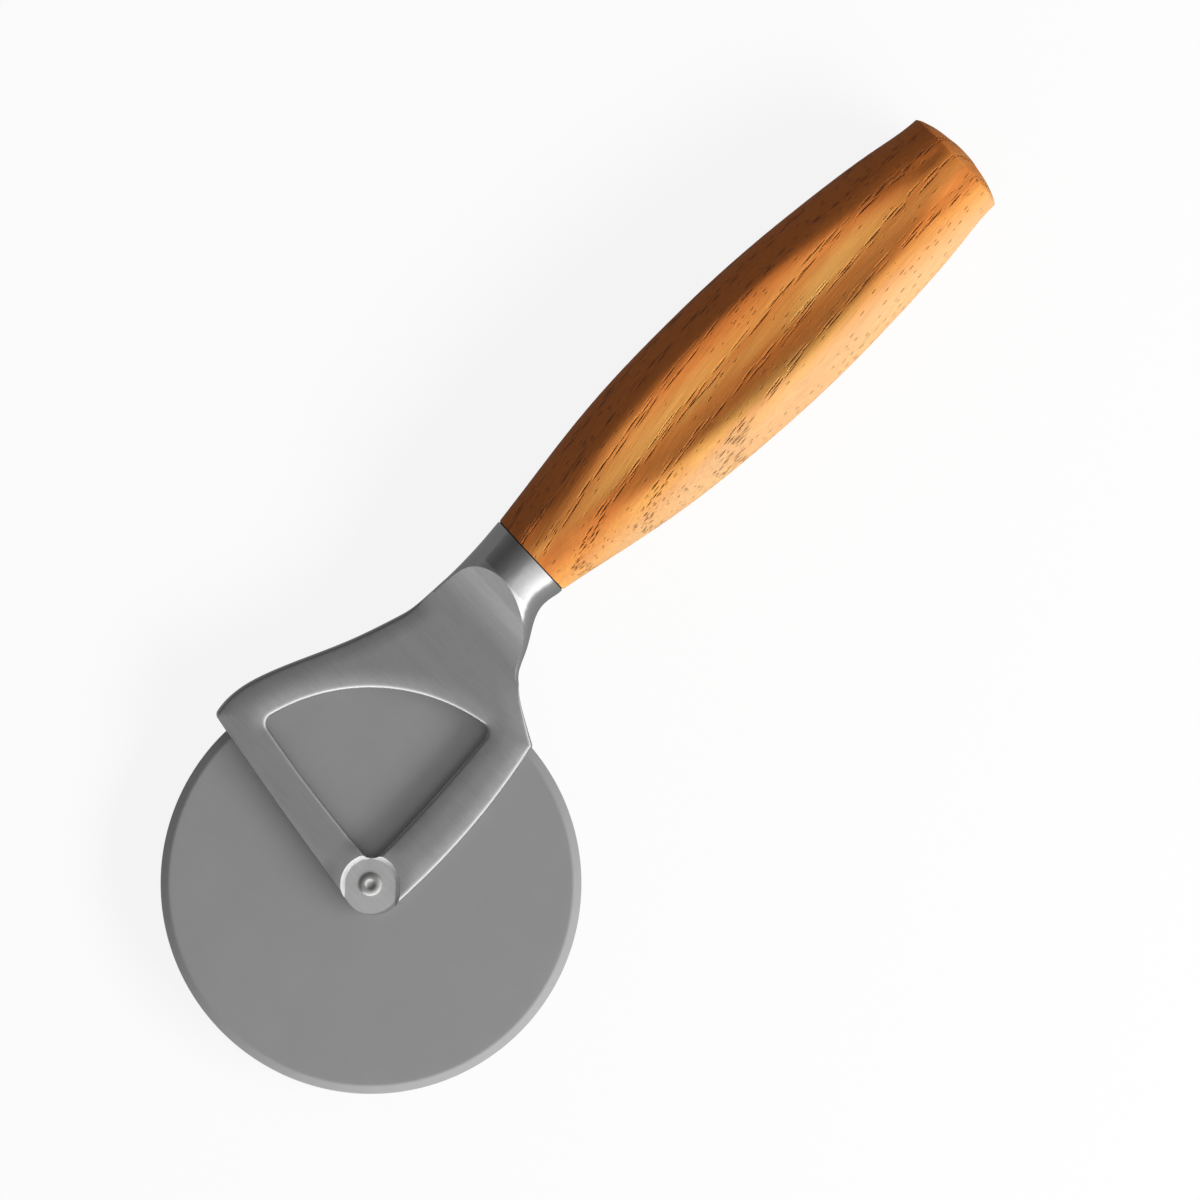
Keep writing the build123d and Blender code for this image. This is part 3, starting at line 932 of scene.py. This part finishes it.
# %% [markdown]
# The outline becomes a solid plate: it is filled, extruded to its thickness, and its rims are rounded by a
# bevel that runs out towards the neck. Then the two flats are cut into a fine grid, and each point sinks by
# how near it is to a wall.

# %% Forged frame: plate
roll_width = 4.4 * mm
roll_depth = 0.42 * mm
roll_grid = 0.9 * mm
rim_run_out = 9 * mm
rim_left = 0.12
# Where the roll fades out: distances from the axle, and places along the handle
spotface_fade = (6.6 * mm, 11.0 * mm)
ramp_fade = (plate_end_x, plate_end_x - 6 * mm)


def soft_step(value, start, end):
    """0 before start and 1 after end, with a soft run between."""
    share = min(max((value - start) / (end - start), 0.0), 1.0)
    return share * share * (3 - 2 * share)


def is_wall(face):
    """True for an upright face of the outline or the window."""
    return abs(face.normal.z) < 0.05 and face.calc_center_median().x < plate_end_x - 0.05 * mm


def is_rim(edge):
    """True for a level edge between a wall and one of the plate's two flats."""
    walls = [is_wall(face) for face in edge.link_faces]
    level = abs(edge.verts[0].co.z - edge.verts[1].co.z) < 0.01 * mm
    return level and len(walls) == 2 and any(walls) and not all(walls)


def points_of(extruded):
    """The new points of an extrusion."""
    return [item for item in extruded["geom"] if isinstance(item, bmesh.types.BMVert)]


def make_blank():
    """The plate as one solid with rounded rims."""
    shape = make_outline()
    bmesh.ops.triangle_fill(shape, use_beauty=True, edges=shape.edges[:])
    for vertex in shape.verts:
        vertex.co.z = plate_middle - plate_half
    front = points_of(bmesh.ops.extrude_face_region(shape, geom=shape.faces[:]))
    bmesh.ops.translate(shape, verts=front, vec=(0, 0, 2 * plate_half))
    bmesh.ops.recalc_face_normals(shape, faces=shape.faces)
    rims = [edge for edge in shape.edges if is_rim(edge)]
    bmesh.ops.bevel(
        shape, geom=rims, offset=edge_rounding, offset_type="OFFSET", affect="EDGES",
        segments=7, profile=0.5, material=-1, clamp_overlap=False,
    )
    print("blank", len(shape.faces), "faces,", len(rims), "rim edges")
    return shape


def plate_walls(shape):
    """The upright walls of the outline and the window, to measure distances from."""
    corners, walls = [], []
    for face in shape.faces:
        if is_wall(face):
            walls.append(range(len(corners), len(corners) + len(face.verts)))
            corners += [vertex.co.copy() for vertex in face.verts]
    return BVHTree.FromPolygons(corners, [list(wall) for wall in walls])


def taper_rims(shape, walls):
    """Lets the rounding of the rims run out towards the neck, by scaling it about the sharp corner."""
    for vertex in shape.verts:
        share = soft_step(vertex.co.x, plate_end_x - rim_run_out, plate_end_x)
        wall, _, _, distance = walls.find_nearest(Vector((vertex.co.x, vertex.co.y, plate_middle)))
        if share > 0 and distance < 1.1 * edge_rounding:
            side = 1 if vertex.co.z > plate_middle else -1
            corner = Vector((wall.x, wall.y, plate_middle + side * plate_half))
            vertex.co = corner + (vertex.co - corner) * (1 - share * (1 - rim_left))


def cut_flats(shape):
    """Cuts the plate's two flats along a fine grid."""
    low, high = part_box("frame")
    for axis, direction in ((0, Vector((1, 0, 0))), (1, Vector((0, 1, 0)))):
        place = low[axis] + roll_grid / 2
        while place < high[axis]:
            flats = [face for face in shape.faces if abs(face.normal.z) > 0.9999]
            edges = list({edge for face in flats for edge in face.edges})
            points = list({vertex for face in flats for vertex in face.verts})
            bmesh.ops.bisect_plane(
                shape, geom=points + edges + flats, dist=0.01 * mm,
                plane_co=direction * place, plane_no=direction,
            )
            place += roll_grid


def roll_edges(shape, walls):
    """Lowers each point of the plate by how near it is to a wall."""
    for vertex in shape.verts:
        _, _, _, distance = walls.find_nearest(Vector((vertex.co.x, vertex.co.y, plate_middle)), roll_width)
        if distance is None:
            continue
        rise = vertex.co.z - plate_middle
        keep = soft_step(from_axle(vertex), *spotface_fade) * soft_step(vertex.co.x, *ramp_fade)
        fall = roll_depth * (1 - distance / roll_width) ** 2 * keep * min(abs(rise) / wall_half, 1.0)
        vertex.co.z -= fall if rise > 0 else -fall


# %% [markdown]
# The spotface is milled: a flat seat for the rivet's tail with a sloped wall, run out over the end of the
# plate. A Boolean takes it away, as the cutter did, and the bore with it. The neck and its ramps come from
# the model.

# %% Forged frame: spotface and neck
spotface_depth = 1.0 * mm
spotface_radius = 5.4 * mm
cutter_overrun = 0.5 * mm
cutter_run = 13 * mm


def spotface_cutters():
    """The bore with the sloped seat above it, and the run of the seat over the end of the plate."""
    front = plate_middle + plate_half
    seat, top = front - spotface_depth, front + cutter_overrun
    wide = spotface_radius + spotface_depth + cutter_overrun
    below = plate_middle - plate_half - cutter_overrun
    round_cutter = turned([
        (0, below), (rivet_neck_radius, below), (rivet_neck_radius, seat),
        (spotface_radius, seat), (wide, top), (0, top),
    ], round_steps)
    run = bmesh.new()
    side = Vector((1, -1, 0)).normalized()
    section = ((-spotface_radius, seat), (spotface_radius, seat), (wide, top), (-wide, top))
    face = run.faces.new([
        run.verts.new(axle + side * across + Vector((0, 0, height))) for across, height in section
    ])
    end = points_of(bmesh.ops.extrude_face_region(run, geom=[face]))
    bmesh.ops.translate(run, verts=end, vec=Vector((-1, -1, 0)).normalized() * cutter_run)
    bmesh.ops.recalc_face_normals(run, faces=run.faces)
    return round_cutter, run


def carved(shape, cutters):
    """The shape with each cutter taken away from it."""
    holders = []
    for index, solid in enumerate((shape, *cutters)):
        mesh = bpy.data.meshes.new(f"carving_{index}")
        solid.to_mesh(mesh)
        solid.free()
        holders.append(bpy.data.objects.new(mesh.name, mesh))
        bpy.context.scene.collection.objects.link(holders[-1])
    blank = holders[0]
    for holder in holders[1:]:
        cut = blank.modifiers.new(holder.name, "BOOLEAN")
        cut.operation, cut.solver, cut.object = "DIFFERENCE", "EXACT", holder
    seen = blank.evaluated_get(bpy.context.evaluated_depsgraph_get())
    result = bmesh.new()
    result.from_mesh(seen.to_mesh())
    seen.to_mesh_clear()
    for holder in holders:
        bpy.data.objects.remove(holder)
    print("carved", len(result.faces), "faces")
    return result


def add_neck(shape):
    """Adds the model's ramps and bolster, from the end of the plate to the joint."""
    neck = welded_copy("frame")
    start = (plate_end_x - 0.02 * mm, 0, 0)
    bmesh.ops.bisect_plane(neck, geom=everything(neck), plane_co=start, plane_no=(-1, 0, 0), clear_outer=True)
    bmesh.ops.holes_fill(neck, edges=[edge for edge in neck.edges if edge.is_boundary], sides=0)
    mesh = bpy.data.meshes.new("neck")
    neck.to_mesh(mesh)
    neck.free()
    shape.from_mesh(mesh)
    bpy.data.meshes.remove(mesh)


def make_frame_piece():
    shape = make_blank()
    walls = plate_walls(shape)
    taper_rims(shape, walls)
    cut_flats(shape)
    roll_edges(shape, walls)
    bmesh.ops.triangulate(shape, faces=[face for face in shape.faces if len(face.verts) > 4])
    shape = carved(shape, spotface_cutters())
    add_neck(shape)
    return finished_piece("forged_frame", shape, frame_steel, "frame", "root")


make_frame_piece()

# %% [markdown]
# The Standard view transform shows colours as they are, so white stays white.

# %% View settings
bpy.context.scene.view_settings.view_transform = "Standard"
